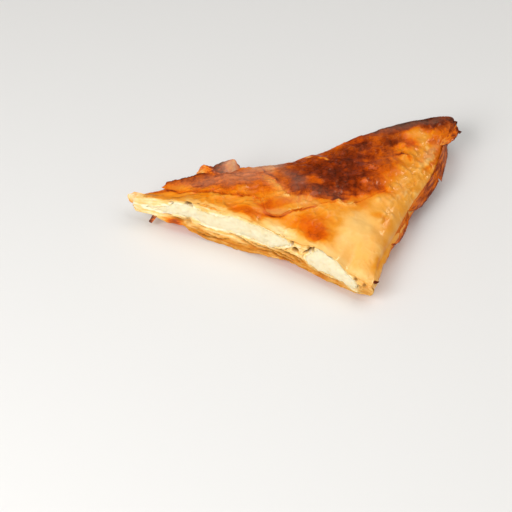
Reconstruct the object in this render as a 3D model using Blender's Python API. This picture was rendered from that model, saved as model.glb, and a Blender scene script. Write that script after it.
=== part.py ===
"""Half of a triangular cheese pie in filo pastry, cut through and lying on its base.

The half is a right-angled triangle in plan. Its long side is the pie's own long edge, the front
is the cut face, and two folded parcels of white cheese run back from the cut inside the pastry.
Axes: X along the cut, from the sharp corner to the square corner, Y into the food, Z up.
"""
import math

import bmesh
import bpy
from mathutils import Matrix, Vector

MM = 0.001

# Plan of the half pie
CUT_LENGTH = 120 * MM
DEPTH = 124 * MM
LONG_EDGE_SLOPE = 0.865
CUT_HOLLOW = 5 * MM
TIP_TURN = 3 * MM
TIP_ROUND = 15 * MM
TIP_MIDDLE = 0.45
# Dents and swells of the two outer edges: height, place along the depth and width, millimetres
LONG_EDGE_DENT = (6.2, 62, 17)
SQUARE_EDGE_DRAW_IN = 2.2
SQUARE_EDGE_SWELL = (2.0, 80, 16)
SQUARE_EDGE_NOTCH = (1.6, 107, 7)
CORNER_LENGTH = 18 * MM

# Rounding of the rims
RIM_RADIUS = 7 * MM
RIM_BULGE = 1.6 * MM
SHOULDER = 27 * MM
SHOULDER_SHARE = 0.45
UNDER_RADIUS = 12 * MM
UNDER_RISE = 8 * MM
THINNEST_RIM = 5 * MM
TIP_LIFT = 4 * MM
TIP_LIFT_START = 0.78
CREST_BLEND = 20 * MM
FLOOR_BLEND = 7 * MM

# Heights of the crust and of the underside along the cut: share of the cut length, millimetres
CREST_AT_CUT = ((0.0, 16.0), (0.08, 18.2), (0.2, 21.6), (0.38, 21.6), (0.5, 20.4), (0.61, 18.3),
                (0.67, 18.5), (0.75, 20.5), (0.83, 18.6), (0.9, 14.0), (1.0, 12.6))
FLOOR_AT_CUT = ((0.0, 6.6), (0.06, 6.8), (0.12, 4.6), (0.18, 5.4), (0.22, 2.4), (0.3, 0.4),
                (0.42, 0.2), (0.52, 2.4), (0.64, 4.8), (0.78, 3.2), (0.92, 3.8), (1.0, 6.4))
# Height of the crown from the cut to the tip: share of the depth, millimetres
CROWN = ((0.0, 21.0), (0.25, 22.6), (0.5, 22.0), (0.75, 20.0), (0.9, 20.6), (1.0, 19.0))
# Height of the crust at its rim, in millimetres: at the sharp corner, square corner and tip
RIM_AT_SHARP_CORNER = 14.0
RIM_AT_SQUARE_CORNER = 12.0
RIM_RISE_TO_TIP = 4.6

# Waves of the crust: height, length along X and along Y, phase
WAVES = ((0.45, 6.1, 17.0, 0.0), (0.4, -13.0, 7.3, 1.1))
# Blisters and dents of the crust: place along X and Y, height and width, millimetres
BUMPS = ((68, 60, 1.1, 4), (104, 84, 1.3, 4), (52, 24, -0.9, 5.5), (88, 74, -1.0, 5))

# Folded parcels of cheese: shares of the cut length, of the pastry's height and of its depth
LONG_PARCEL = {"start": 0.035, "end": 0.635, "low": 0.36, "high": 0.86, "back": 0.84}
SHORT_PARCEL = {"start": 0.71, "end": 0.925, "low": 0.2, "high": 0.93, "back": 0.78}
PARCEL_END_HEIGHT = 0.25
CRUST_OVER = 1.2 * MM
CRUST_UNDER = 2.2 * MM
GAP = 0.3 * MM
CHEESE_SET_BACK = 0.5 * MM
CUT_OPENING = 4 * MM

# Mesh cells across the cut, into the depth and up the sides
PASTRY_CELLS = (34, 30, 4)
CHEESE_CELLS = (18, 12, 4)
FLAKE_CELLS = (8, 4, 1)
CREVICE_CELLS = (8, 1, 1)

# Lifted leaves of pastry, in millimetres: two root corners, then two free corners, and how far
# the free edge curls up
FLAKE_THICKNESS = 1.0 * MM
FLAKE_BOW = 0.6 * MM
FLAKE_RAGGED = 0.25
FLAKES = {
    "back_leaf": ((17, 11, 19.4), (38, 36, 19), (31.5, 36.5, 20), (11, 13, 18), 1.6),
    "back_curl": ((26, 25, 20), (33, 33, 20), (28.5, 34, 22.5), (22.5, 27, 22.5), 1.5),
    "corner_leaf": ((4, 4, 12), (5, 1.2, 12), (-3.6, -0.6, 12.6), (-3.0, 3, 13), 1.0),
    "peel_lip": ((60, 21, 21.0), (79, 34, 21.6), (78, 29, 22.8), (58, 14, 22), 0.6),
    "side_leaf": ((116, 54, 8), (116, 100, 10), (122.8, 95, 8), (121.0, 60, 6.5), -1.0),
    "tip_leaf": ((115, 112, 15), (115, 117, 15), (120.4, 117.5, 14.5), (120, 112.5, 13.5), 1.2),
    "under_leaf": ((8, 5, 9), (13, 5, 9), (10, 2.0, 3.2), (7, 1.8, 2.6), 0.0),
}

# Thin gaps between pastry layers on the cut: shares of the cut length where they start and end,
# then their heights above the underside there, in millimetres
CREVICE_HEIGHT = 0.6 * MM
CREVICE_DEPTH = 3 * MM
CREVICES = {
    "gap_front_low": (0.27, 0.50, 2.0, 2.6),
    "gap_front_high": (0.33, 0.62, 5.2, 3.2),
    "gap_middle_low": (0.52, 0.80, 1.6, 1.8),
    "gap_fold": (0.665, 0.70, 9.0, 12.6),
}
# Open folds on the cut: share of the cut length, then height, width and rise in millimetres
PORE_DEPTH = 2.6 * MM
PORES = {
    "tube_fold": (0.215, 6.6, 2.4, 3.4),
    "hollow_under": (0.165, 7.9, 5.0, 1.6),
    "fold_hole": (0.662, 12.6, 2.2, 2.8),
    "end_hole_left": (0.942, 9.2, 1.6, 2.4),
    "end_hole_right": (0.97, 8.0, 2.0, 2.0),
}

CRUST_COLOUR = (0.72, 0.36, 0.10)
CRUST_ROUGHNESS = 0.45
CHEESE_COLOUR = (0.95, 0.90, 0.76)
CHEESE_ROUGHNESS = 0.6


def smooth(t):
    """Ease from 0 to 1 as t goes from 0 to 1."""
    t = min(max(t, 0.0), 1.0)
    return t * t * (3.0 - 2.0 * t)


def profile(points, share):
    """Height in metres at a share along a list of (share, millimetres) points, eased between."""
    for (s0, h0), (s1, h1) in zip(points, points[1:]):
        if share <= s1:
            return (h0 + (h1 - h0) * smooth((share - s0) / (s1 - s0))) * MM
    return points[-1][1] * MM


def bell(place, bump):
    """Height in metres of a smooth bump, given as height, centre and width in millimetres."""
    height, centre, width = bump
    return height * MM * math.exp(-((place / MM - centre) / width) ** 2)


def long_edge(depth):
    """X of the pie's long edge at a depth, with its shallow dent and the turn at the blunt tip."""
    turn = TIP_TURN * smooth((depth / DEPTH - 0.9) / 0.1) ** 1.5
    return LONG_EDGE_SLOPE * depth + bell(depth, LONG_EDGE_DENT) + turn


def square_edge(depth):
    """X of the folded side that stands square to the cut."""
    draw_in = SQUARE_EDGE_DRAW_IN * MM * smooth(depth / CORNER_LENGTH)
    waver = bell(depth, SQUARE_EDGE_SWELL) - bell(depth, SQUARE_EDGE_NOTCH)
    return CUT_LENGTH - RIM_BULGE - draw_in + waver


def cut_hollow(share):
    """How far the cut face sits back from a straight line between the two corners."""
    return CUT_HOLLOW * math.sin(math.pi * min(max(share, 0.0), 1.0))


def tip_depth(share):
    """How deep the pastry reaches: its blunt tip is rounded in plan."""
    return DEPTH - TIP_ROUND * (share - TIP_MIDDLE) ** 2


def across(share, depth):
    """X at a share of the way from the long edge to the square edge."""
    return long_edge(depth) + share * (square_edge(depth) - long_edge(depth))


def rim_distances(share, depth):
    """Distances from the long edge, from the square edge and from the tip's end."""
    width = square_edge(depth) - long_edge(depth)
    square_to_long_edge = math.cos(math.atan(LONG_EDGE_SLOPE))
    return share * width * square_to_long_edge, (1.0 - share) * width, tip_depth(share) - depth


def round_edge(distance, radius):
    """Quarter-circle rise from 0 at the rim to 1 at a radius inside it."""
    near = 1.0 - min(max(distance / radius, 0.0), 1.0)
    return math.sqrt(1.0 - near * near)


def rounding(share, depth):
    """0 at the rim and 1 well inside: a tight round edge followed by a long soft shoulder."""
    tight = 1.0
    soft = 1.0
    for distance in rim_distances(share, depth):
        tight *= round_edge(distance, RIM_RADIUS)
        soft *= smooth(distance / SHOULDER + 0.1)
    return tight * (1.0 - SHOULDER_SHARE + SHOULDER_SHARE * soft)


def turn_up(share, depth):
    """1 at the rim and 0 inside: how far the underside is drawn up towards the rim."""
    flat = 1.0
    for distance in rim_distances(share, depth):
        flat *= round_edge(distance, UNDER_RADIUS)
    return 1.0 - flat


def wrinkles(x, y):
    """Shallow waves, blisters and dents of the baked crust."""
    a = x / MM
    b = y / MM
    height = 0.0
    for rise, along, inward, phase in WAVES:
        height += rise * math.sin(a / along + b / inward + phase)
    for place_x, place_y, rise, width in BUMPS:
        height += rise * math.exp(-((a - place_x) ** 2 + (b - place_y) ** 2) / width ** 2)
    return height * MM


def crest(share, depth):
    """Height of the crust's top."""
    rim = RIM_AT_SHARP_CORNER + (RIM_AT_SQUARE_CORNER - RIM_AT_SHARP_CORNER) * share
    rim = (rim + RIM_RISE_TO_TIP * (depth / DEPTH) ** 1.5) * MM
    inner = rim + (profile(CROWN, depth / DEPTH) - rim) * rounding(share, depth)
    inner += wrinkles(across(share, depth), depth)
    front = profile(CREST_AT_CUT, share)
    return front + (inner - front) * smooth((depth - cut_hollow(share)) / CREST_BLEND)


def underside(share, depth):
    """Height of the base: flat in the middle, drawn up at the rims, the cut and the tip."""
    rise = UNDER_RISE * turn_up(share, depth)
    rise += TIP_LIFT * smooth((depth / DEPTH - TIP_LIFT_START) / (1.0 - TIP_LIFT_START))
    inner = min(rise, crest(share, depth) - THINNEST_RIM)
    front = profile(FLOOR_AT_CUT, share)
    return front + (inner - front) * smooth((depth - cut_hollow(share)) / FLOOR_BLEND)


def crowd_ends(t):
    """Move evenly spaced shares towards both ends, where the surface curves most."""
    return 0.45 * t + 0.55 * (0.5 - 0.5 * math.cos(math.pi * t))


def pastry_point(u, v, w):
    """Place in the pastry of a block's point: u across the cut, v into the depth, w up, 0 to 1."""
    share = crowd_ends(u)
    inward = crowd_ends(v)
    depth = cut_hollow(share) * (1.0 - inward) + tip_depth(share) * inward
    low = underside(share, depth)
    high = crest(share, depth)
    swell = RIM_BULGE * (1.0 - (2.0 * w - 1.0) ** 2)
    side = swell * (smooth(8.0 * share - 7.0) - smooth(1.0 - 8.0 * share))
    end = swell * smooth(12.0 * inward - 11.0)
    return Vector((across(share, depth) + side, depth + end, low + w * (high - low)))


def parcel_point(parcel, u, v, w):
    """Place of a block's point in a parcel of cheese."""
    share = parcel["start"] + u * (parcel["end"] - parcel["start"])
    front = cut_hollow(share) + CHEESE_SET_BACK
    depth = front + v * (parcel["back"] * DEPTH - front)
    low = underside(share, depth)
    high = crest(share, depth)
    middle = 0.5 * (parcel["low"] + parcel["high"])
    round_end = (1.0 - abs(2.0 * u - 1.0) ** 3.5) ** 0.5
    reach = (parcel["high"] - middle) * (1.0 - 0.5 * v ** 3)
    reach *= PARCEL_END_HEIGHT + (1.0 - PARCEL_END_HEIGHT) * round_end
    top = min(low + (middle + reach) * (high - low), high - CRUST_OVER - GAP)
    base = max(low + (middle - reach) * (high - low), low + CRUST_UNDER + GAP)
    return Vector((across(share, depth), depth, base + w * (top - base)))


def as_object(name, bm):
    """A new object in the scene from a finished bmesh."""
    mesh = bpy.data.meshes.new(name)
    bm.to_mesh(mesh)
    bm.free()
    part = bpy.data.objects.new(name, mesh)
    bpy.context.scene.collection.objects.link(part)
    return part


def block(name, cells, place):
    """A closed box of cells whose points are moved by place(u, v, w)."""
    bm = bmesh.new()
    bmesh.ops.create_cube(bm, size=1.0)
    for axis, count in enumerate(cells):
        along = [e for e in bm.edges if abs((e.verts[0].co - e.verts[1].co)[axis]) > 0.5]
        if count > 1:
            bmesh.ops.subdivide_edges(bm, edges=along, cuts=count - 1, use_grid_fill=True)
    for vert in bm.verts:
        vert.co = place(*(vert.co + Vector((0.5, 0.5, 0.5))))
    bmesh.ops.recalc_face_normals(bm, faces=bm.faces)
    bmesh.ops.triangulate(bm, faces=bm.faces)
    return as_object(name, bm)


def flake(name, root_a, root_b, free_b, free_a, curl):
    """A thin ragged leaf between two corners at its root and two at its free edge."""
    root_a, root_b, free_b, free_a = (Vector(c) * MM for c in (root_a, root_b, free_b, free_a))

    def place(u, v, w):
        notch = 1.0 - FLAKE_RAGGED * (0.5 + 0.5 * math.sin(9.0 * u + 2.0)) * v
        point = root_a.lerp(root_b, u).lerp(free_a.lerp(free_b, u), v * notch)
        bow = FLAKE_BOW * math.sin(math.pi * u) * v
        point.z += curl * MM * v * v + bow + w * FLAKE_THICKNESS
        return point

    return block(name, FLAKE_CELLS, place)


def cut_point(share, height):
    """A point on the cut face."""
    return Vector((across(share, 0.0), cut_hollow(share), height))


def crevice(name, start, end, low, high):
    """A cutter for a thin gap between pastry layers, tapered at both ends and inwards."""

    def place(u, v, w):
        share = start + u * (end - start)
        point = cut_point(share, profile(FLOOR_AT_CUT, share) + (low + u * (high - low)) * MM)
        thickness = CREVICE_HEIGHT * (0.3 + 0.7 * math.sin(math.pi * u)) * (1.0 - 0.6 * v)
        point.y += CREVICE_DEPTH * v - MM * (1.0 - v)
        point.z += (w - 0.5) * thickness
        return point

    return block(name, CREVICE_CELLS, place)


def pore(name, share, height, width, rise):
    """A cutter for a small round hollow in the cut face."""
    bm = bmesh.new()
    bmesh.ops.create_icosphere(bm, subdivisions=1, radius=1.0)
    bmesh.ops.scale(bm, vec=(width / 2 * MM, PORE_DEPTH, rise / 2 * MM), verts=bm.verts)
    bmesh.ops.translate(bm, vec=cut_point(share, height * MM), verts=bm.verts)
    return as_object(name, bm)


def hollow_round(cheese):
    """A cutter for the pastry that leaves an even gap round a parcel of cheese, open at the cut."""
    bm = bmesh.new()
    bm.from_mesh(cheese.data)
    bm.normal_update()
    moves = [vert.normal * GAP * vert.calc_shell_factor() for vert in bm.verts]
    front = [face for face in bm.faces if face.normal.y < -0.7]
    for vert, move in zip(bm.verts, moves):
        vert.co += move
    forward = bmesh.ops.extrude_face_region(bm, geom=front)["geom"]
    bmesh.ops.delete(bm, geom=front, context="FACES_ONLY")
    verts = [item for item in forward if isinstance(item, bmesh.types.BMVert)]
    bmesh.ops.translate(bm, vec=(0.0, -CUT_OPENING, 0.0), verts=verts)
    return as_object(cheese.name + "_hollow", bm)


def combine(part, pieces, operation):
    """Join pieces to a part, or cut them out of it, in one step, and remove them."""
    collection = bpy.data.collections.new(operation.lower())
    bpy.context.scene.collection.children.link(collection)
    for piece in pieces:
        bpy.context.scene.collection.objects.unlink(piece)
        collection.objects.link(piece)
    modifier = part.modifiers.new(operation.title(), "BOOLEAN")
    modifier.operation = operation
    modifier.operand_type = "COLLECTION"
    modifier.collection = collection
    view = bpy.context.evaluated_depsgraph_get()
    result = bpy.data.meshes.new_from_object(part.evaluated_get(view))
    part.modifiers.clear()
    part.data = result
    for piece in pieces:
        bpy.data.objects.remove(piece)
    bpy.data.collections.remove(collection)


def joined_verts(start, left):
    """The points that edges join to a starting point, taken out of the set of those left."""
    body = [start]
    for vert in body:
        for link in vert.link_edges:
            other = link.other_vert(vert)
            if other in left:
                left.discard(other)
                body.append(other)
    return body


def keep_largest(part):
    """Drop the loose scraps that a cut can leave."""
    bm = bmesh.new()
    bm.from_mesh(part.data)
    left = set(bm.verts)
    bodies = []
    while left:
        bodies.append(joined_verts(left.pop(), left))
    bodies.sort(key=len)
    loose = [vert for body in bodies[:-1] for vert in body]
    bmesh.ops.delete(bm, geom=loose, context="VERTS")
    bm.to_mesh(part.data)
    bm.free()


def paint(part, colour, roughness):
    """Give a part a plain material of its own."""
    material = bpy.data.materials.new(part.name)
    material.use_nodes = True
    shader = material.node_tree.nodes["Principled BSDF"]
    shader.inputs["Base Color"].default_value = (*colour, 1.0)
    shader.inputs["Roughness"].default_value = roughness
    shader.inputs["Metallic"].default_value = 0.0
    part.data.materials.clear()
    part.data.materials.append(material)


def build_cheese(name, parcel):
    """One folded parcel of cheese."""
    return block(name, CHEESE_CELLS, lambda u, v, w: parcel_point(parcel, u, v, w))


def build_pastry(cheeses):
    """The pastry with its lifted leaves, hollowed round the cheese and gapped on the cut face."""
    pastry = block("pastry", PASTRY_CELLS, pastry_point)
    combine(pastry, [flake(name, *shape) for name, shape in FLAKES.items()], "UNION")
    cutters = [hollow_round(cheese) for cheese in cheeses]
    cutters += [crevice(name, *shape) for name, shape in CREVICES.items()]
    cutters += [pore(name, *shape) for name, shape in PORES.items()]
    combine(pastry, cutters, "DIFFERENCE")
    keep_largest(pastry)
    return pastry


def stand_on_origin(parts):
    """Move all parts so that the origin is under the middle of their common box."""
    corners = [vert.co for part in parts for vert in part.data.vertices]
    low = Vector([min(c[axis] for c in corners) for axis in range(3)])
    high = Vector([max(c[axis] for c in corners) for axis in range(3)])
    middle = (low + high) / 2
    for part in parts:
        part.data.transform(Matrix.Translation((-middle.x, -middle.y, -low.z)))


def build():
    """Model the pastry and its two parcels of cheese."""
    for item in list(bpy.data.objects):
        bpy.data.objects.remove(item, do_unlink=True)
    cheeses = [build_cheese("cheese_long", LONG_PARCEL), build_cheese("cheese_short", SHORT_PARCEL)]
    pastry = build_pastry(cheeses)
    paint(pastry, CRUST_COLOUR, CRUST_ROUGHNESS)
    for cheese in cheeses:
        paint(cheese, CHEESE_COLOUR, CHEESE_ROUGHNESS)
    stand_on_origin([pastry] + cheeses)


build()
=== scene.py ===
"""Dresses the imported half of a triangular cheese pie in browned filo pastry.

Detailed pastry, its lifted leaves, the layers on the cut and two runs of cheese take the place of
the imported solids, on a plain stage. The form functions work in the plan of the pie, in
millimetres: X along the cut from the sharp corner to the square corner, Y into the food, Z up.
"""
import math

import bmesh
import bpy
import numpy as np
from bpy.props import FloatProperty, FloatVectorProperty, PointerProperty
from bpy.types import Operator, Panel, PropertyGroup
from mathutils import Matrix, Vector, noise


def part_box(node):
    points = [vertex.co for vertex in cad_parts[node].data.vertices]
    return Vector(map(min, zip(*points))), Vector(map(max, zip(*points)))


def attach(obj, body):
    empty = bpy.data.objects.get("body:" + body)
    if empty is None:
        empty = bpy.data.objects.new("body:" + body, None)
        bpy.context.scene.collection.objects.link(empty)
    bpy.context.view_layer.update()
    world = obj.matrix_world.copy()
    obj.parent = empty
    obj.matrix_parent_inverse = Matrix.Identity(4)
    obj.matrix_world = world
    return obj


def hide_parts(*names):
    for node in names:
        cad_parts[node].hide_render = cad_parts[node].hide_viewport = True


bl_info = {
    "name": "Cheese pie half",
    "version": (1, 0, 0),
    "blender": (4, 5, 0),
    "location": "3D View > Sidebar > Pie",
    "description": "Browned filo pastry, cheese and a plain stage round the packed solids",
    "category": "Object",
}

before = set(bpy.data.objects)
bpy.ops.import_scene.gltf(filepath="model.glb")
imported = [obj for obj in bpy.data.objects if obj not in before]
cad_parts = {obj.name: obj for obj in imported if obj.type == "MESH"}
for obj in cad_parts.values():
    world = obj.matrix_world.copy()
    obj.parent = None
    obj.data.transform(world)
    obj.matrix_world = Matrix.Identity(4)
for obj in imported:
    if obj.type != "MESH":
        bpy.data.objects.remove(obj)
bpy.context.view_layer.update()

MM = 0.001

# Plan of the half pie, as in the solids
CUT_LENGTH = 120
DEPTH = 124
LONG_EDGE_SLOPE = 0.865
CUT_HOLLOW = 5
TIP_TURN = 3
TIP_ROUND = 15
TIP_MIDDLE = 0.45
LONG_EDGE_DENT = (6.2, 62, 17)
SQUARE_EDGE_DRAW_IN = 2.2
SQUARE_EDGE_SWELL = (2, 80, 16)
SQUARE_EDGE_NOTCH = (1.6, 107, 7)
CORNER_LENGTH = 18
RIM_RADIUS = 7
RIM_BULGE = 1.6
SHOULDER = 27
SHOULDER_SHARE = 0.45
UNDER_RADIUS = 12
UNDER_RISE = 8
THINNEST_RIM = 5
TIP_LIFT = 4
TIP_LIFT_START = 0.78
CREST_BLEND = 20
FLOOR_BLEND = 7
CREST_AT_CUT = ((0, 16), (0.08, 18.2), (0.2, 21.6), (0.38, 21.6), (0.5, 20.4), (0.61, 18.3),
                (0.67, 18.5), (0.75, 20.5), (0.83, 18.6), (0.9, 14), (1, 12.6))
FLOOR_AT_CUT = ((0, 6.6), (0.06, 6.8), (0.12, 4.6), (0.18, 5.4), (0.22, 2.4), (0.3, 0.4),
                (0.42, 0.2), (0.52, 2.4), (0.64, 4.8), (0.78, 3.2), (0.92, 3.8), (1, 6.4))
CROWN = ((0, 21), (0.25, 22.6), (0.5, 22), (0.75, 20), (0.9, 20.6), (1, 19))
RIM_AT_SHARP_CORNER = 14
RIM_AT_SQUARE_CORNER = 12
RIM_RISE_TO_TIP = 4.6
WAVES = ((0.45, 6.1, 17, 0), (0.4, -13, 7.3, 1.1))
BUMPS = ((68, 60, 1.1, 4), (104, 84, 1.3, 4), (52, 24, -0.9, 5.5), (88, 74, -1, 5))
LONG_PARCEL = {"start": 0.035, "end": 0.635, "low": 0.36, "high": 0.86, "back": 0.84}
SHORT_PARCEL = {"start": 0.71, "end": 0.925, "low": 0.2, "high": 0.93, "back": 0.78}
PARCEL_END_HEIGHT = 0.25
CRUST_OVER = 1.2
CRUST_UNDER = 2.2
GAP = 0.3
CHEESE_SET_BACK = 0.5

# Outlines of the cheese on the cut: X and height of the top, then of the bottom
LONG_TOP = ((3.9, 10.9), (9, 12.2), (14.2, 14.6), (19.5, 18), (27.3, 18.3), (33, 17.4), (39.2, 17.2),
            (45.3, 18.8), (50.4, 20), (55.5, 19), (60, 19.5), (66.9, 18.1), (74.2, 17.8), (76.4, 16.1))
LONG_BOTTOM = ((3.9, 10.5), (9, 10.7), (14.3, 10.4), (21.6, 11.2), (28.5, 11.4), (35.3, 9.5),
               (44.5, 10.2), (52, 10.2), (57.3, 10.2), (63.2, 9.6), (67.6, 9.2), (72.2, 11.8),
               (76.4, 14.6))
SHORT_TOP = ((84.8, 12), (87, 15.5), (91, 20.6), (94.3, 19.4), (98.9, 18.3), (102.5, 16.7),
             (105.2, 14.3), (107.5, 12.3), (109.8, 10.3), (111.6, 8.2))
SHORT_BOTTOM = ((84.8, 10.4), (86.3, 8.3), (91.2, 6.4), (94.2, 7.3), (100.1, 6.8), (103, 6.3),
                (109.2, 5.6), (111.6, 5.6))

# Where an upper leaf of the crust ends: its front edge from the sharp corner to the square side
UPPER_LEAF_EDGE = ((9, 12.5), (12, 9.5), (15, 8.5), (18, 9.5), (25, 13), (32, 14.5), (40, 16.3),
                   (45, 18.3), (50, 20.2), (54, 20.4), (57, 17), (60, 14.3), (64, 13.6), (67, 15),
                   (70, 18.5), (75, 23.6), (80, 28.4), (85, 32.2), (89, 33.4), (93, 35), (97, 42),
                   (101, 48), (104, 53.5), (106, 60))
# How far that edge stands off the crust, at the same points
UPPER_LEAF_LIFT = (0.1, 0.2, 0.3, 0.2, 0.1, 0.1, 0.15, 0.3, 0.4, 0.35, 0.6, 0.8, 0.8, 0.7,
                   0.45, 0.45, 0.4, 0.3, 0.5, 0.5, 0.2, 0.15, 0.1, 0)
CURLED_LEAF_EDGE = ((41, 45.5), (43.2, 42.7), (46, 39.8), (50, 37.4), (54.5, 35.4), (58, 32.8),
                    (61, 30.2), (64, 27.8), (66.3, 26.2), (67.5, 24.6))
CURLED_LEAF_LIFT = (0.2, 0.3, 0.4, 0.4, 0.4, 0.4, 0.5, 0.9, 1.3, 0.7)

# Creases of the crust: points, height and width in millimetres
CREASES = (
    (((86, 34), (89, 33.2), (92, 34.2), (94, 36.5), (93.6, 40)), 0.8, 0.9),
    (((99, 85), (101, 82.5), (104, 82), (107, 84.5)), 0.9, 1),
    (((106, 86), (108, 80), (107, 74)), 0.5, 1.2),
    (((113, 50), (112, 60), (113, 72), (112, 84), (113.5, 96), (114.5, 104)), 0.45, 2.2),
    (((52.5, 57), (55, 59.5), (60, 62), (63, 65)), 1.9, 1.8),
    (((70, 81), (75, 86.5), (79, 90)), 1.6, 2), (((96, 12), (98, 22), (96, 34)), 0.35, 1.6),
    (((108, 8), (106, 20), (108, 34), (106, 46)), 0.35, 1.8),
    (((90, 90), (94, 97), (100, 104), (108, 112)), 0.6, 2.4),
    (((70, 64), (73, 70), (78, 76)), 0.6, 1.3), (((24, 12), (33, 11), (42, 13)), 0.35, 0.9),
    (((70, 12), (76, 15), (80, 15)), 0.3, 1),
)

# Fine wrinkles of the crust: spacing, height and place in the noise
WRINKLES = ((9, 0.55, 14), (6, 0.35, 17.5), (7, -0.35, 25.5))

# Where the crust has blisters: X, Y, spread along both, how many and how high
BLISTER_FIELDS = (
    (72, 52, 10, 14, 70, 0.8), (84, 74, 14, 12, 60, 0.8), (96, 62, 6, 14, 40, 0.6),
    (90, 90, 10, 14, 40, 0.6), (28, 22, 16, 9, 30, 0.4), (109, 76, 4, 24, 80, 0.75),
    (60, 20, 32, 10, 30, 0.3), (98, 112, 16, 9, 30, 0.5),
)

# The smooth pale area of the crust near the square corner: X, Y and half widths along both
SMOOTH_AREA = (102, 22, 15, 27)

# Brush strokes on the crust: X, Y, half length, half width, angle, and target and strength in per
# cent. First the browning, with a few small strokes that are painted highlights, then the redder
# patches, then the thin greyish leaves over the crust with painted sheen.
BROWNING_AND_GLINTS = (
    (50, 18, 62, 18, 12, 42, 90), (105, 72, 12, 40, 0, 40, 80), (28, 22, 22, 10, 32, 66, 95),
    (30, 13, 22, 4, 14, 43, 90), (46, 31, 13, 10, 20, 61, 95), (17, 21, 12, 3, 50, 77, 90),
    (32, 31, 9, 3.5, 42, 74, 80), (27, 14.5, 14, 1.8, 14, 58, 80), (62, 56, 14, 22, -35, 72, 95),
    (57, 45, 8, 13, -20, 70, 90), (64, 42, 5, 9, 0, 80, 90), (80, 58, 19, 20, -10, 79, 100),
    (94, 84, 9, 22, 8, 74, 95), (82, 78, 9, 14, 20, 76, 90), (77, 50, 10, 14, -20, 84, 90),
    (70, 35, 10, 5, 8, 80, 95), (80, 37, 10, 3.5, 6, 86, 95), (91, 50, 8, 9, 0, 83, 90),
    (82, 70, 8, 8, 0, 82, 80), (65.5, 39, 2.5, 7, 0, 83, 90), (72, 43, 4.5, 3.2, 0, 66, 95),
    (77.5, 45, 1.4, 6, 0, 88, 90), (63, 62, 12, 2.6, 45, 66, 90), (80, 49, 7, 9, 0, 86, 90),
    (79, 64, 6, 4, 20, 86, 90), (88, 52, 4, 8, -10, 86, 90), (88, 82, 8, 5, 50, 70, 90),
    (91, 80, 3, 5, 10, 78, 90), (96.5, 53, 6, 3.5, 0, 66, 90), (71.6, 42, 4, 2.6, 25, 57, 90),
    (81, 82, 3.8, 3.4, 0, 88, 95), (93, 89, 3.6, 3.2, 0, 84, 95), (75.5, 83, 6, 2.4, 48, 60, 90),
    (87, 71, 2.2, 1.8, 0, 56, 90), (94, 105, 27, 4.2, 46, 87, 95), (92, 107, 34, 3, 46, 98, 95),
    (108, 114, 11, 5.5, 42, 86, 95), (115.5, 116, 3, 4, 0, 64, 90), (113.5, 122, 3.5, 2.4, 20, 92, 90),
    (117, 109, 3, 4, 0, 55, 90), (103, 92, 5, 12, 0, 43, 90), (99, 86, 4, 4.5, 20, 46, 80),
    (101.5, 93, 3.8, 4.2, 0, 60, 95), (99.5, 53, 4, 4, 30, 65, 90), (98, 78, 6, 5, 40, 64, 90),
    (92, 78, 2, 5, 20, 60, 80), (101, 23, 9, 16, 0, 24, 95), (109, 12, 9, 9, 0, 30, 80),
    (104, 42, 8, 6, 0, 34, 90), (107, 36.5, 4, 2, 0, 46, 80), (112, 35, 3, 3.5, 0, 44, 80),
    (97, 39, 4, 5, -30, 48, 80), (113, 70, 5, 30, 0, 38, 85), (113, 92, 4, 12, 0, 48, 85),
    (115.6, 92, 2.2, 13, 0, 62, 85), (111.5, 103, 3, 4, 0, 60, 90), (113, 108, 4.5, 5, 0, 60, 80),
    (106, 82, 5, 8, 0, 42, 80), (102, 83, 1.8, 0.9, 20, 82, 90), (105.8, 82.4, 1.6, 0.5, -20, 56, 80),
    # Painted highlights: the strokes on this line and the next are small pale glints on the right
    # ridge
    (110, 95.5, 0.8, 2.4, 20, 26, 80), (113, 88, 0.7, 2, -20, 26, 80),
    (109.3, 54.5, 1, 0.9, 0, 24, 80), (112, 58, 0.6, 2, 15, 26, 80), (113.4, 86, 1.6, 10, -4, 31, 85),
    (116.3, 16, 1.8, 11, 0, 42, 85), (80.5, 17.5, 12, 6.5, 28, 48, 100), (78, 17, 5, 3.5, 25, 54, 70),
    (84.5, 14.5, 6.5, 5.5, 20, 56, 85), (85.5, 11.5, 5.5, 4.2, 12, 63, 95),
    (51, 9, 9, 3.6, 0, 58, 100), (34, 9.5, 16, 4.5, 2, 44, 90), (57.5, 18.8, 4.4, 3.4, 10, 66, 90),
    (64.5, 21.5, 4, 2.4, 35, 55, 80), (66, 23, 7, 3, 30, 54, 80), (63, 15.4, 7, 1.4, 17, 45, 95),
    # The last stroke on this line and on the next is a painted highlight, a small pale glint
    (69, 20, 6, 0.9, 46, 40, 80), (63, 12.6, 6, 1, 12, 60, 90), (55.4, 19.2, 2.2, 2.4, 0, 33, 70),
    (55, 32, 8, 2.2, -24, 45, 90), (70, 28.8, 9, 1.8, 2, 50, 90), (64.8, 26.7, 2.4, 0.6, 10, 36, 90),
    (47, 44, 6, 3.5, -30, 40, 80), (92, 35.5, 5, 1.6, 10, 38, 90), (70, 7.2, 11, 3.8, -3, 14, 100),
    (48, 4.9, 14, 1.8, 0, 26, 95), (84, 4.5, 8, 2.2, -6, 24, 95), (102, 3.5, 18, 3, 0, 22, 90),
    (34, 4, 12, 1.6, 2, 28, 90), (15, 10.5, 6, 2.4, 14, 48, 90), (11, 4.2, 10, 4, 14, 44, 95),
    # The last stroke on this line and both strokes on the next are painted highlights, small glints
    # along the back edge
    (8, 6.6, 7, 1.2, 20, 64, 80), (1, 0, 2.4, 2.4, 0, 18, 95), (61.6, 60.6, 1.6, 1, 20, 24, 95),
    (67.6, 60.4, 0.9, 1.1, 0, 36, 90), (70.2, 61.2, 1.4, 1, 0, 26, 90),
)
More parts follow.
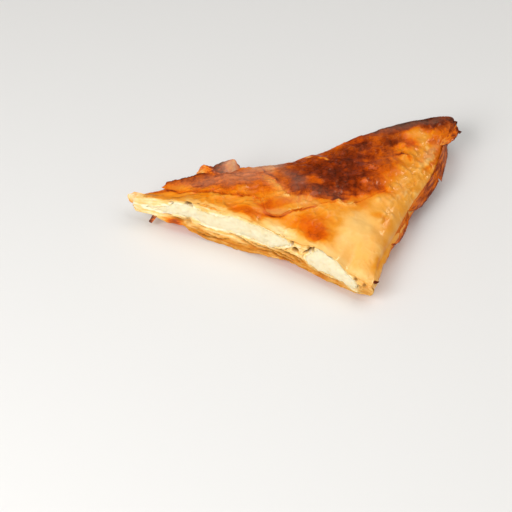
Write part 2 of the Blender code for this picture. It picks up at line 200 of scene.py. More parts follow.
EMBERS = (
    (84, 14, 9.5, 8, 20, 80, 100), (57, 17, 9, 9, 0, 50, 100), (53, 9, 11, 3.5, 0, 70, 100),
    (100, 53, 7, 5, 10, 70, 100), (90, 60, 9, 26, 5, 50, 100), (101.5, 93, 4.5, 5, 0, 90, 100),
    (76, 83, 8, 4, 48, 70, 100), (63, 60, 14, 6, 45, 30, 100), (80, 54, 18, 20, 0, 60, 100),
)
# Veil strokes: the greyish tone of thin leaves, and painted sheen, a reflection painted on the back
# slopes, the long edge and the ridge
VEILS_AND_SHEEN = (
    (46, 44, 8, 5, 40, 70, 100), (32, 24, 20, 4, 32, 20, 100), (40, 32, 13, 6, 35, 30, 100),
    (56, 32, 8, 3, -24, 16, 100), (59, 42, 6, 4, -20, 16, 100), (66, 37, 4, 5, 0, 16, 100),
    (64, 16, 7, 2, 17, 16, 100), (70, 26, 9, 3.5, 10, 14, 100), (96, 106, 22, 2.6, 46, 14, 100),
    (80, 37, 12, 4, 6, 6, 100), (112.5, 92, 2, 9, -4, 25, 100), (110, 58, 2, 8, 0, 12, 100),
)

# Fine lines painted on the crust: points, width and change of the bake. Some darker lines are painted
# shadow of lifted leaf edges.
PAINTED_LINES = (
    # Painted shadow: the next two lines run below the lifted front edge of the upper leaf and below
    # its lip
    (((9, 11.6), (12, 8.6), (18, 8.6), (25, 12.2), (32, 13.7), (40, 15.5), (49, 19.2), (54, 20.2)),
     0.55, 0.22),
    (((57, 14.6), (60, 13.2), (64, 12.9), (67.5, 14.6), (70.6, 18.2), (75.6, 23.2), (81, 28.2)),
     0.6, 0.24),
    (((65, 29.2), (76, 31.4), (85, 34), (93, 41)), 0.9, 0.16),
    (((86, 34.4), (88.5, 33.4), (91, 33.8), (93, 35.4), (93.6, 38)), 0.7, -0.15),
    (((86.4, 36), (89, 35.2), (91.4, 36.4)), 0.6, 0.16),
    # Painted shadow beside the lifted edge of the curled leaf
    (((43, 43.6), (48, 39.4), (53.5, 36.6), (58, 33.6)), 0.5, 0.2),
    (((44, 40.6), (49, 36.6), (55, 34), (59, 31), (63, 28)), 1.5, -0.08),
    (((67.5, 16.8), (72, 21.4), (77, 25.6), (82, 29.4)), 0.4, -0.1),
    (((65, 19.4), (70, 23.2), (75.4, 27)), 0.4, -0.08), (((84, 40), (90, 41.5), (95, 45)), 0.5, 0.15),
    (((72, 39.6), (78, 40.4), (84, 39.2)), 0.5, 0.12),
    (((98, 80), (101, 82.4), (104, 82.6), (107, 80)), 0.5, 0.18),
)

# Browned filo from pale to burnt, as stops of a ramp
BAKE_STOPS = (
    (0, (1, 0.95, 0.82)), (0.12, (0.99, 0.86, 0.6)), (0.25, (0.98, 0.76, 0.42)),
    (0.38, (0.92, 0.6, 0.18)), (0.48, (0.9, 0.5, 0.05)), (0.58, (0.84, 0.39, 0.02)),
    (0.67, (0.71, 0.31, 0.02)), (0.76, (0.57, 0.21, 0.015)), (0.86, (0.43, 0.145, 0.015)),
    (1, (0.27, 0.085, 0.02)),
)

# Small open folds on the cut: X, height, half width, half height, depth and painted shade
CUT_HOLES = (
    (25.6, 19.5, 1.5, 1.1, 3.6, 1.8), (27, 18.5, 0.6, 1.1, 2.4, 1), (17.9, 16.6, 0.4, 1.5, 1.4, 0.6),
    (16.9, 17.6, 0.8, 0.4, 1.2, 0.5), (20.4, 13.6, 0.7, 0.6, 1.4, 0.9), (16, 9.7, 1.9, 0.5, 1.8, 0.9),
    (25.8, 8.6, 1.5, 2.2, 1.6, 0.5), (21.1, 8.2, 3.2, 1, 2, 0.8), (77.2, 18.6, 0.8, 2.8, 1.5, 0.5),
    (79.2, 13.2, 1.4, 1.2, 2.6, 1.4), (89.2, 20.8, 1.7, 0.8, 2.4, 1.8), (86.8, 17.6, 1.6, 1, 2, 1),
    (110.4, 11.9, 1, 1.2, 1.2, 0.75), (112.6, 12.8, 1.2, 0.4, 0.8, 0.5),
    (114.9, 11, 0.8, 1.5, 1.2, 0.65), (112.8, 9.6, 1.6, 0.4, 0.8, 0.5), (113, 11.3, 0.8, 0.7, -0.7, 0),
    (96.5, 5.6, 4.5, 0.5, 1.8, 0.6),
)

# Open gaps between layers on the cut: points, half height and depth
CUT_GAPS = (
    (((31, 3), (36, 2.4), (42, 3.4), (47, 5.2)), 0.45, 1.9),
    (((46, 9), (50, 8.2), (55, 6.6), (60, 5.8)), 0.55, 2.2),
    (((56, 8), (63, 6.9), (71, 7.4), (80, 7.2)), 0.4, 1.5),
    (((66, 8.8), (73, 9.6), (80, 9.2), (85, 7.4)), 0.4, 1.4),
    (((83, 13), (85.6, 15.8), (88.6, 19.8)), 0.6, 2.4),
    (((77.2, 20.8), (77.6, 17.6), (77.4, 14.6)), 0.6, 1.8),
    (((60, 4.4), (68, 5.8), (76, 5.4), (84, 4.6)), 0.3, 1.2),
)

# Leaves and the layers on the cut, in millimetres. The reach of the layers is in shares of the
# height, and the front of the cheese, which follows its outline on the cut, in shares of its depth.
LEAF_THICKNESS = 0.35
LAYERS_ON_CUT = 5
SLAB_DEPTH = 4.4
SLAB_REACH = (0.012, 0.982)
SLAB_OVERLAP = 1.2
BODY_RECESS = 3
CHEESE_FRONT = 0.12

# How finely the pieces are divided, and the least share of the depth that isn't on the cut
SLAB_CELLS = (440, 72)
BODY_CELLS = (210, 180)
BODY_LEVELS = (0, 0.03, 0.07, 0.2, 0.35, 0.5, 0.65, 0.8, 0.93, 0.97, 1)
CHEESE_CELLS = (260, 10, 36)
EDGE_LEAF_CELLS = (300, 34)
TORN_LEAF_CELLS = (200, 28)
AT_CUT = 1e-6

# Distances in metres: between points that are taken for one, between points of a hollow that
# become one, and from the floor's middle to its sides
SAME_PLACE = 1e-8
WELD = 0.001 * MM
FLOOR_REACH = 3.0

# Square lamps: name, and place and side in metres
LAMPS = (("key", (-0.22, -0.76, 0.55), 0.5), ("top", (0.3, 0.08, 0.88), 0.8),
         ("gloss", (0.42, 0.72, 0.62), 0.24))
GLOSS_COLOUR = (1, 0.84, 0.62)
ROOM_COLOUR = (1, 0.985, 0.965, 1)

# The photograph's view: place in metres, where its right and its down point, and lens and sensor
# in millimetres
CAMERA_PLACE = (0.1795, -0.5199, 0.4907)
CAMERA_RIGHT = (0.90859, 0.41357, 0.05845)
CAMERA_DOWN = (0.32962, -0.62403, -0.70847)
CAMERA_LENS = 105.47
CAMERA_SENSOR = 36


def smooth(t):
    """Ease from 0 to 1 as t goes from 0 to 1."""
    t = np.clip(t, 0, 1)
    return t * t * (3 - 2 * t)


def blend(first, second, share):
    """A share of the way from the first value to the second."""
    return first + (second - first) * share


def near(distance, width, power=2):
    """1 at no distance, falling softly to nearly 0 over about two widths."""
    return np.exp(-(distance / width) ** power)


def profile(points, share):
    """Height at a share along (share, height) points, eased between them."""
    shares, heights = np.transpose(points)
    share = np.clip(share, shares[0], shares[-1])
    i = np.clip(np.searchsorted(shares, share) - 1, 0, len(shares) - 2)
    t = smooth((share - shares[i]) / (shares[i + 1] - shares[i]))
    return blend(heights[i], heights[i + 1], t)


def bell(place, bump):
    """A smooth bump, given as height, centre and width."""
    height, centre, width = bump
    return height * near(place - centre, width)


def long_edge(depth):
    """X of the pie's long edge at a depth."""
    turn = TIP_TURN * smooth((depth / DEPTH - 0.9) / 0.1) ** 1.5
    return LONG_EDGE_SLOPE * depth + bell(depth, LONG_EDGE_DENT) + turn


def square_edge(depth):
    """X of the folded side that stands square to the cut."""
    draw_in = SQUARE_EDGE_DRAW_IN * smooth(depth / CORNER_LENGTH)
    waver = bell(depth, SQUARE_EDGE_SWELL) - bell(depth, SQUARE_EDGE_NOTCH)
    return CUT_LENGTH - RIM_BULGE - draw_in + waver


def cut_hollow(share):
    """How far the cut sits back from a straight line between its corners."""
    return CUT_HOLLOW * np.sin(math.pi * np.clip(share, 0, 1))


def tip_depth(share):
    """How deep the pastry reaches."""
    return DEPTH - TIP_ROUND * (share - TIP_MIDDLE) ** 2


def across(share, depth):
    """X at a share of the way from the long edge to the square edge."""
    return blend(long_edge(depth), square_edge(depth), share)


def share_at(x, y):
    """Share of the way from the long edge to the square edge."""
    return (x - long_edge(y)) / np.maximum(square_edge(y) - long_edge(y), 1)


def rim_distances(share, depth):
    """Distances from the long edge, the square edge and the tip's end."""
    width = square_edge(depth) - long_edge(depth)
    square_to_long_edge = math.cos(math.atan(LONG_EDGE_SLOPE))
    return share * width * square_to_long_edge, (1 - share) * width, tip_depth(share) - depth


def round_edge(distance, radius):
    """Quarter-circle rise from 0 at the rim to 1 at a radius inside it."""
    left = 1 - np.clip(distance / radius, 0, 1)
    return np.sqrt(1 - left * left)


def rounding(share, depth):
    """0 at the rim and 1 well inside: a tight round edge, then a long soft shoulder."""
    rims = rim_distances(share, depth)
    tight = math.prod(round_edge(distance, RIM_RADIUS) for distance in rims)
    soft = math.prod(smooth(distance / SHOULDER + 0.1) for distance in rims)
    return tight * (1 - SHOULDER_SHARE + SHOULDER_SHARE * soft)


def wrinkles(x, y):
    """Shallow waves, blisters and dents of the baked crust."""
    waves = [rise * np.sin(x / along + y / inward + phase) for rise, along, inward, phase in WAVES]
    bumps = [rise * np.exp(-((x - place_x) ** 2 + (y - place_y) ** 2) / width ** 2)
             for place_x, place_y, rise, width in BUMPS]
    return sum(waves + bumps)


def crest(share, depth):
    """Height of the crust's top, without its fine relief."""
    rim = blend(RIM_AT_SHARP_CORNER, RIM_AT_SQUARE_CORNER, share)
    rim = rim + RIM_RISE_TO_TIP * (depth / DEPTH) ** 1.5
    inner = blend(rim, profile(CROWN, depth / DEPTH), rounding(share, depth))
    inner = inner + wrinkles(across(share, depth), depth)
    front = profile(CREST_AT_CUT, share)
    return blend(front, inner, smooth((depth - cut_hollow(share)) / CREST_BLEND))


def underside(share, depth):
    """Height of the base: flat in the middle, drawn up at the rims, the cut and the tip."""
    flat = math.prod(round_edge(distance, UNDER_RADIUS) for distance in rim_distances(share, depth))
    rise = UNDER_RISE * (1 - flat)
    rise = rise + TIP_LIFT * smooth((depth / DEPTH - TIP_LIFT_START) / (1 - TIP_LIFT_START))
    inner = np.minimum(rise, crest(share, depth) - THINNEST_RIM)
    front = profile(FLOOR_AT_CUT, share)
    return blend(front, inner, smooth((depth - cut_hollow(share)) / FLOOR_BLEND))


def parcel_point(parcel, u, v, w):
    """Place in a parcel of cheese, as in the solids: u across, v inwards, w up."""
    share = blend(parcel["start"], parcel["end"], u)
    front = cut_hollow(share) + CHEESE_SET_BACK
    depth = blend(front, parcel["back"] * DEPTH, v)
    low = underside(share, depth)
    high = crest(share, depth)
    middle = 0.5 * (parcel["low"] + parcel["high"])
    round_end = (1 - np.abs(2 * u - 1) ** 3.5) ** 0.5
    reach = (parcel["high"] - middle) * (1 - 0.5 * v ** 3)
    reach = reach * (PARCEL_END_HEIGHT + (1 - PARCEL_END_HEIGHT) * round_end)
    top = np.minimum(blend(low, high, middle + reach), high - CRUST_OVER - GAP)
    base = np.maximum(blend(low, high, middle - reach), low + CRUST_UNDER + GAP)
    return np.stack([across(share, depth), depth, blend(base, top, w)], -1)


def frame_shift():
    """Where the solids' origin was put, in metres, from the plan to the frame."""
    u, v, w = np.meshgrid(np.linspace(0, 1, 19), np.linspace(0, 1, 13), (0, 1), indexing="ij")
    points = parcel_point(LONG_PARCEL, u, v, w).reshape(-1, 3) * MM
    return np.array(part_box("cheese_long")[0]) - points.min(axis=0)


SHIFT = frame_shift()


def grain(x, y, z=0, size=1, octaves=3, seed=0):
    """Smooth random values around 0, mostly within 0.5, with features of a size."""
    x, y, z = np.broadcast_arrays(x, y, z)
    places = np.stack([x.ravel() / size + seed, y.ravel() / size - seed, z.ravel() / size], 1)
    values = [noise.fractal(Vector(place), 1, 2, octaves) for place in places.tolist()]
    return np.array(values).reshape(x.shape)


def along_line(points, count):
    """Evenly spaced points on a smooth curve, with their lengths along it."""
    points = np.asarray(points, float)
    steps = np.linalg.norm(np.diff(points[:, :2], axis=0), axis=1)
    length = np.concatenate([[0], np.cumsum(steps)])
    at = np.linspace(0, length[-1], count)
    fine = [np.pad(np.interp(at, length, column), 2, mode="edge") for column in points.T]
    return np.stack([np.convolve(column, np.ones(5) / 5, mode="valid") for column in fine], 1), at


def height_on(line, x):
    """Height of a line on the cut at X."""
    return np.interp(x, *np.transpose(line))


def line_distance(x, y, points):
    """Distance from a line, and the share of its length at the nearest place."""
    points = np.asarray(points, float)
    lengths = np.linalg.norm(np.diff(points, axis=0), axis=1)
    starts = np.concatenate([[0], np.cumsum(lengths)])
    best = np.full(np.shape(x), 1e9)
    place = np.zeros(np.shape(x))
    for (ax, ay), (bx, by), length, start in zip(points, points[1:], lengths, starts):
        t = np.clip(((x - ax) * (bx - ax) + (y - ay) * (by - ay)) / length ** 2, 0, 1)
        distance = np.hypot(x - ax - t * (bx - ax), y - ay - t * (by - ay))
        nearer = distance < best
        best = np.where(nearer, distance, best)
        place = np.where(nearer, (start + t * length) / starts[-1], place)
    return best, place


def outline_distance(x, z, top, bottom):
    """Distance from a closed outline on the cut, less than 0 inside it."""
    distance, _ = line_distance(x, z, (*top, *bottom[::-1], top[0]))
    inside = (x > top[0][0]) & (x < top[-1][0]) & (z < height_on(top, x)) & (z > height_on(bottom, x))
    return np.where(inside, -distance, distance)


def blisters():
    """Places, radii and heights of the crust's blisters, most where it is darkest."""
    rng = np.random.default_rng(11)
    made = []
    for x, y, spread_x, spread_y, count, height in BLISTER_FIELDS:
        for _ in range(count):
            place = rng.normal((x, y), (spread_x, spread_y))
            radius = rng.uniform(0.9, 2.8)
            rise = height * rng.uniform(0.3, 1) * (1 if rng.random() < 0.75 else -0.8)
            made.append((*place, radius, rise * min(1, radius / 1.8)))
    return made


BLISTERS = blisters()


def blister_height(x, y):
    """Height of the blisters."""
    height = np.zeros(np.shape(x))
    for place_x, place_y, radius, rise in BLISTERS:
        here = (np.abs(x - place_x) < radius) & (np.abs(y - place_y) < radius)
        q = ((x[here] - place_x) ** 2 + (y[here] - place_y) ** 2) / radius ** 2
        height[here] += rise * np.clip(1 - q, 0, 1) ** 2
    return height


def crispness(x, y):
    """1 where the crust is crisp, less where it is smooth near the square corner."""
    place_x, place_y, half_x, half_y = SMOOTH_AREA
    return 1 - 0.8 * np.exp(-(((x - place_x) / half_x) ** 2 + ((y - place_y) / half_y) ** 2) ** 2)


def wrinkle_height(x, y):
    """Height of the thin winding wrinkles."""
    height = np.zeros(np.shape(x))
    for size, rise, seed in WRINKLES:
        contour = grain(x, y, size=size, seed=seed)
        patchy = smooth(0.5 + 2 * grain(x, y, size=2.5 * size, octaves=2, seed=seed + 2))
        height += rise * patchy * near(contour * size, 0.55)
    along = 0.75 * x + 0.66 * y
    back_left = smooth((30 - np.hypot(0.75 * (x - 30), 1.3 * (y - 24))) / 14)
    folds = grain(0.22 * along, 0.75 * y - 0.66 * x, size=2, seed=29)
    ridge = near(x - 104, 6) * near(y - 68, 26, 4)
    return height * crispness(x, y) * (1 - 0.5 * ridge) + 0.6 * back_left * folds


def crust_relief(x, y):
    """Fine relief of the crust: puffs, wrinkles, blisters, creases and grain."""
    height = grain(x, y, size=13, octaves=2, seed=3.1)
    crisp = crispness(x, y)
    height += crisp * 0.45 * grain(x, y, size=4.6, octaves=2, seed=8.4)
    height += crisp * 0.12 * grain(x, y, size=1.5, seed=5.2)
    height += wrinkle_height(x, y) + blister_height(x, y)
    for points, rise, width in CREASES:
        distance, place = line_distance(x, y, points)
        taper = smooth(6 * place) * smooth(6 * (1 - place))
        height += rise * np.maximum(taper, 0.15) * near(distance, width)
    return np.where(height < -0.5, 0.5 * np.tanh(2 * height + 1) - 0.5, height)


def nearest_place(x, y):
    """Share and depth of the nearest place on the pie."""
    share = np.clip(share_at(x, y), 0, 1)
    return share, np.clip(y, cut_hollow(share), tip_depth(share))


def relief_strength(share, depth):
    """How strong the fine relief is: full well inside, less at the rims and the cut."""
    fade = smooth(np.minimum.reduce(rim_distances(share, depth)) / 5)
    fade = fade * (0.35 + 0.65 * smooth((depth - cut_hollow(share)) / 4))
    return 0.45 + 0.55 * fade


def crust_height(x, y):
    """Height of the finished crust."""
    share, depth = nearest_place(x, y)
    return crest(share, depth) + crust_relief(x, y) * relief_strength(share, depth)


def brushed(x, y, strokes, start):
    """A value in the plan, brushed stroke by stroke over an even start."""
    drift_x = 3 * grain(x, y, size=7, seed=21)
    drift_y = 2 * grain(x, y, size=7, seed=33)
    value = np.full(np.shape(x), start)
    for place_x, place_y, half_length, half_width, angle, target, strength in strokes:
        drift = min(1, half_width / 6)
        off_x = x + drift * drift_x - place_x
        off_y = y + drift * drift_y - place_y
        turn = math.radians(angle)
        a = off_x * math.cos(turn) + off_y * math.sin(turn)
        b = off_y * math.cos(turn) - off_x * math.sin(turn)
        q = (a / half_length) ** 2 + (b / half_width) ** 2
        value = value + (target / 100 - value) * (strength / 100) * np.exp(-q ** 1.6)
    return value


def browning_and_painted_light(x, y):
    """How far the crust is baked, from 0, pale, to 1, burnt, with painted light: paler blister tops,
    wrinkle ridges and glints as painted highlights, darker dents and lines under lifted leaf edges as
    painted shade.
    """
    bake = brushed(x, y, BROWNING_AND_GLINTS, 0.33)
    for points, width, change in PAINTED_LINES:
        distance, place = line_distance(x, y, points)
        bake = bake + change * smooth(8 * place * (1 - place)) * near(distance, width)
    dark = smooth((bake - 0.5) / 0.2)
    streaks = grain(0.93 * x + 0.37 * y, 0.2 * (0.93 * y - 0.37 * x), size=1.8, seed=55)
    mottling = grain(x, y, size=5, seed=57)
    painted_blister_light = np.clip(blister_height(x, y), -0.4, 0.5)
    painted_wrinkle_light = np.clip(wrinkle_height(x, y), -0.3, 0.5)
    # Painted highlights and shade: raised blister tops and wrinkle ridges are made paler, dents and
    # grooves darker
    bake = bake - painted_blister_light * (0.08 + 0.05 * dark) - 0.12 * painted_wrinkle_light
    return bake + dark * (0.06 * mottling + 0.06 * streaks)


def crust_values(x, y):
    """Bake, redness, and the greyish veil of thin leaves with painted sheen, of the crust."""
    return {"bake": browning_and_painted_light(x, y), "ember": brushed(x, y, EMBERS, 0.0),
            "veil": brushed(x, y, VEILS_AND_SHEEN, 0.0)}


def side_browning(x, y, z):
    """How far the walls and the underside are baked."""
    share, _ = nearest_place(x, y)
    long_wall = 0.14 + 0.44 * smooth((y - 3) / 9) + 0.2 * smooth((y - 30) / 50)
    long_wall = long_wall + 0.18 * smooth((y - 78) / 12)
    square_wall = 0.32 + 0.1 * smooth((y - 8) / 20) + 0.34 * smooth((y - 40) / 20)
    wall = blend(long_wall, square_wall, smooth(4 * share - 1.5))
    wall = wall + (0.92 - wall) * smooth((y - 108) / 8) * smooth((116 - x) / 3)
    wall = wall + 0.25 * grain(x, y, z * 2, size=12, seed=47)
    base = 0.52 + 0.22 * grain(x, y, size=18, seed=41)
    under = smooth((6 - z) / 5)
    side = blend(wall, base, under) + 0.12 * grain(x, y, z, size=6, seed=44)
    foot = 0.3 + 0.38 * near(x - 20, 8) - 0.14 * smooth((x - 98) / 10)
    foot = foot + 0.12 * grain(x, y, size=8, seed=49)
    at_cut = 1 - smooth((y - cut_hollow(share) - 1) / 5)
    return side + (foot - side) * at_cut * under


def body_values(points):
    """Bake, redness and veil with painted sheen of the body: of the crust high up, of the walls below.
    """
    x, y, z = points.T
    share, depth = nearest_place(x, y)
    low = underside(share, depth)
    upper = smooth(((z - low) / (crest(share, depth) - low) - 0.5) / 0.35)
    values = crust_values(x, y)
    values["bake"] = blend(side_browning(x, y, z), values["bake"], upper)
    values["ember"] = blend(0.3, values["ember"], upper)
    values["veil"] = values["veil"] * upper
    return values


def cells(grid):
    """The four corners of each cell of a grid."""
    return np.stack([grid[:-1, :-1], grid[1:, :-1], grid[1:, 1:], grid[:-1, 1:]], -1)


def shell(levels_u, levels_v, levels_w):
    """Points on the surface of a box at the given levels, and the faces between them."""
    counts = (len(levels_u), len(levels_v), len(levels_w))
    outside = np.ones(counts, bool)
    outside[1:-1, 1:-1, 1:-1] = False
    ids = np.full(counts, -1)
    ids[outside] = np.arange(outside.sum())
    sides = ((ids[:, :, 0], -1), (ids[:, :, -1], 1), (ids[:, 0], 1), (ids[:, -1], -1),
             (ids[0], -1), (ids[-1], 1))
    faces = [cells(side).reshape(-1, 4)[:, ::turn] for side, turn in sides]
    i, j, k = np.argwhere(outside).T
    place = (np.asarray(levels_u)[i], np.asarray(levels_v)[j], np.asarray(levels_w)[k])
    return place, np.concatenate(faces)


def thick_sheet(front, back, kept=...):
    """A closed sheet between two grids of points, without the cells that aren't kept."""
    count = front[..., 0].size
    top = cells(np.arange(count).reshape(front.shape[:2]))[kept].reshape(-1, 4)
    start, end = top.ravel(), np.roll(top, -1, axis=1).ravel()
    border = ~np.isin(start * count + end, end * count + start)
    start, end = start[border], end[border]
    sides = np.stack([end, start, start + count, end + count], -1)
    used, faces = np.unique([*top, *(top[:, ::-1] + count), *sides], return_inverse=True)
    return np.concatenate([front.reshape(-1, 3), back.reshape(-1, 3)])[used], faces.reshape(-1, 4)


def sheet_normals(grid):
    """Unit normals of a grid of points, on its upper side."""
    normal = np.cross(np.gradient(grid, axis=0), np.gradient(grid, axis=1))
    normal /= np.maximum(np.linalg.norm(normal, axis=-1, keepdims=True), 1e-9)
    return normal if normal[..., 2].sum() > 0 else -normal


def leaf_sheet(top):
    """Points and faces of a thin leaf under a grid of points."""
    return thick_sheet(top, top - sheet_normals(top) * LEAF_THICKNESS)


def enclosed_volume(points, faces):
    """Volume inside closed faces, less than 0 if they point inwards."""
    a, b, c, d = (points[faces[:, i]] for i in range(4))
    return (np.cross(a, b) * c).sum() + (np.cross(a, c) * d).sum()


def new_object(name, data):
    """A new object in the scene."""
    made = bpy.data.objects.new(name, data)
    bpy.context.scene.collection.objects.link(made)
    return made


def new_piece(name, points, faces, finish, slot, values):
    """A piece in the frame from plan points, with its finish and its values."""
    if enclosed_volume(points, faces) < 0:
        faces = faces[:, ::-1]
    mesh = bpy.data.meshes.new(name)
    mesh.from_pydata((points * MM + SHIFT).tolist(), [], faces.tolist())
    mesh.shade_smooth()
    piece = new_object(name, mesh)
    give_values(mesh, values)
    mesh.materials.append(finish_named(finish))
    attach(piece, "root")
    return piece


def give_values(mesh, values):
    """Store named values at the points of a mesh, for its material."""
    for name, numbers in values.items():
        layer = mesh.attributes.new(name, "FLOAT", "POINT")
        layer.data.foreach_set("value", np.asarray(numbers, np.float32))


def join_points(mesh):
    """Make one point of those that lie on each other, which leaves out faces with no area."""
    form = bmesh.new()
    form.from_mesh(mesh)
    bmesh.ops.remove_doubles(form, verts=form.verts, dist=SAME_PLACE)
    form.to_mesh(mesh)
    form.free()


def plan_points(mesh):
    """The points of a mesh in the plan's millimetres."""
    flat = np.empty(len(mesh.vertices) * 3)
    mesh.vertices.foreach_get("co", flat)
    return (flat.reshape(-1, 3) - SHIFT) / MM


class Value:
    """A number inside a material. Python's operators on it add Math nodes."""

    def __init__(self, look, socket):
        self.look = look
        self.socket = socket

    def math(self, operation, *numbers):
        """The result of a Math node on numbers, some of them values."""
        return self.look.node("Math", {"operation": operation}, dict(enumerate(numbers or (self,))))

    def __add__(self, other):
        return self.math("ADD", self, other)

    def __sub__(self, other):
        return self.math("SUBTRACT", self, other)

    def __rsub__(self, other):
        return self.math("SUBTRACT", other, self)

    def __mul__(self, other):
        return self.math("MULTIPLY", self, other)

    __radd__ = __add__
    __rmul__ = __mul__

    def clamp(self):
        """The number kept between 0 and 1."""
        return self.look.node("Clamp", {}, {"Value": self})


class Look:
    """A material built from nodes round one Principled shader."""

    def __init__(self, name):
        self.material = bpy.data.materials.new(name)
        self.material.use_nodes = True
        self.tree = self.material.node_tree
        self.shader = self.tree.nodes["Principled BSDF"]

    def plug(self, socket, value):
        """Link a value to a socket, or set it to a plain number or colour."""
        if isinstance(value, Value):
            self.tree.links.new(value.socket, socket)
        else:
            socket.default_value = value

    def node(self, kind, settings, inputs, output=0):
        """Add a node, its settings before its sockets, and return one output."""
        made = self.tree.nodes.new("ShaderNode" + kind)
        for key, setting in settings.items():
            if key == "stops":
                set_stops(made.color_ramp, setting)
            else:
                setattr(made, key, setting)
        for key, value in inputs.items():
            self.plug(made.inputs[key], value)
        return Value(self, made.outputs[output])

    def set(self, **inputs):
        """Set or link sockets of the shader, named with underscores for spaces."""
        for key, value in inputs.items():
            self.plug(self.shader.inputs[key.replace("_", " ")], value)

    def attribute(self, name):
        """A value stored at the points of the mesh."""
        return self.node("Attribute", {"attribute_name": name}, {}, "Fac")

    def noise(self, size, detail=3):
        """Noise around 0 with features of a size in millimetres."""
        place = self.node("TexCoord", {}, {}, "Object")
        inputs = {"Vector": place, "Scale": 1 / (size * MM), "Detail": detail}
        return self.node("TexNoise", {}, inputs, "Fac") - 0.5

    def baked(self, bake):
        """The colour of filo at a bake."""
        return self.node("ValToRGB", {"stops": BAKE_STOPS}, {0: bake})

    def mix(self, factor, first, second, blend_type="MIX"):
        """A colour between two colours, or the first tinted by the second."""
        settings = {"data_type": "RGBA", "blend_type": blend_type}
        return self.node("Mix", settings, {0: factor, 6: first, 7: second}, 2)

    def bump(self, height, distance, strength):
        """A normal from a height, whose full range is a distance in millimetres."""
        inputs = {"Height": height, "Distance": distance * MM, "Strength": strength}
        return self.node("Bump", {}, inputs)


def set_stops(ramp, stops):
    """Give a colour ramp its stops, as places and screen colours."""
    while len(ramp.elements) > 1:
        ramp.elements.remove(ramp.elements[-1])
    for i, (place, colour) in enumerate(stops):
        element = ramp.elements[0] if i == 0 else ramp.elements.new(place)
        element.position = place
        element.color = linear(colour)


def linear(colour):
    """A screen colour as Blender's linear colour with alpha."""
    return (*((c / 12.92 if c <= 0.04045 else ((c + 0.055) / 1.055) ** 2.4) for c in colour), 1)


def filo_finish(settings):
    """Browned filo pastry: coloured by its bake, blotched and speckled, with a buttery sheen."""
    look = Look("browned filo")
    glaze = look.noise(7, 1)
    blotches = look.noise(3.2, 4)
    specks = look.noise(0.8)
    creases = (1 - look.noise(3.5).math("ABSOLUTE") * 24).clamp()
    bake = look.attribute("bake")
    crisp = (bake * 2.2 - 0.35).clamp()
    lines = creases * (bake * 0.2 - 0.06)
    tone = bake + crisp * (blotches * settings.blotches + specks * settings.specks + lines)
    ember_colour = linear(settings.ember_colour)
    colour = look.mix(look.attribute("ember"), look.baked(tone), ember_colour, "MULTIPLY")
    # Painted sheen: the veil mixes the colour towards a greyish tan, partly the tone of thin leaves,
    # partly a reflection painted into the colour
    veil = (look.attribute("veil") + blotches * look.attribute("veil")).clamp()
    fibre = look.noise(0.35, 2)
    look.set(
        Base_Color=look.mix(veil, colour, linear(settings.veil_and_sheen_colour)),
        Roughness=settings.roughness + blotches * 0.35 + specks * 0.25,
        Coat_Weight=(glaze * 1.5 - bake * 0.5 + 0.4).clamp(),
        Coat_Roughness=0.16,
        Specular_IOR_Level=0.1,
        Specular_Tint=(1, 0.7, 0.35, 1),
        Normal=look.bump(specks * 0.7 + fibre * 0.3, 0.2, 0.35),
    )
    return look.material


def layer_finish(settings):
    """Soft steamed filo layers inside the pie, pale and slightly see-through, with painted shade in
    their gaps.
    """
    look = Look("soft filo layers")
    blotches = look.noise(2)
    specks = look.noise(0.6, 2)
    soft = look.baked(look.attribute("bake") + blotches * 0.1 + specks * 0.05)
    look.set(
        # Painted shade: deep in the open gaps and holes of the cut, and on the lower layers, the
        # colour turns towards the dark gap shade colour
        Base_Color=look.mix(look.attribute("gap").clamp(), soft, (*settings.gap_shade_colour, 1)),
        Roughness=0.5 + blotches * 0.3,
        Specular_IOR_Level=0.2,
        Subsurface_Weight=0.35,
        Subsurface_Radius=(1, 0.7, 0.35),
        Subsurface_Scale=1.5 * MM,
        Normal=look.bump(specks, 0.2, 0.4),
    )
    return look.material


def cheese_finish(settings):
    """Fresh white cheese: creamy, moist and finely crumbled."""
    look = Look("white cheese")
    curds = look.noise(1.6)
    lumps = look.noise(5, 2)
    crumb = look.noise(0.5, 2)
    yellowing = (look.attribute("gap") + curds * 0.6 + lumps * 1.2).clamp()
    look.set(
        Base_Color=look.mix(yellowing, (*settings.colour, 1), (*settings.pit_colour, 1)),
        Roughness=0.55 + curds * 0.3,
        Subsurface_Weight=0.5,
        Subsurface_Radius=(1, 0.85, 0.6),
        Subsurface_Scale=2 * MM,
        Specular_IOR_Level=0.3,
        Normal=look.bump(curds * 0.6 + crumb * 0.4, 0.3, 0.5),
    )
    return look.material


FINISHES = {
    "browned filo": (filo_finish, "pie_pastry"),
    "soft filo layers": (layer_finish, "pie_pastry"),
    "white cheese": (cheese_finish, "pie_cheese"),
}


def crowd(t, share):
    """Move evenly spaced shares towards both ends."""
    return (1 - share) * t + share * (0.5 - 0.5 * np.cos(math.pi * t))


def levels(count, crowding=0):
    """Shares from 0 to 1 round a number of cells, crowded towards both ends."""
    return crowd(np.linspace(0, 1, count + 1), crowding)


def bulge(w):
    """How far the folded rims swell outwards at a height."""
    return RIM_BULGE * (1 - (2 * w - 1) ** 2)


def side_bulge(u, w):
    """How far the two folded rims swell outwards, across the cut."""
    return bulge(w) * (smooth(8 * u - 7) - smooth(1 - 8 * u))


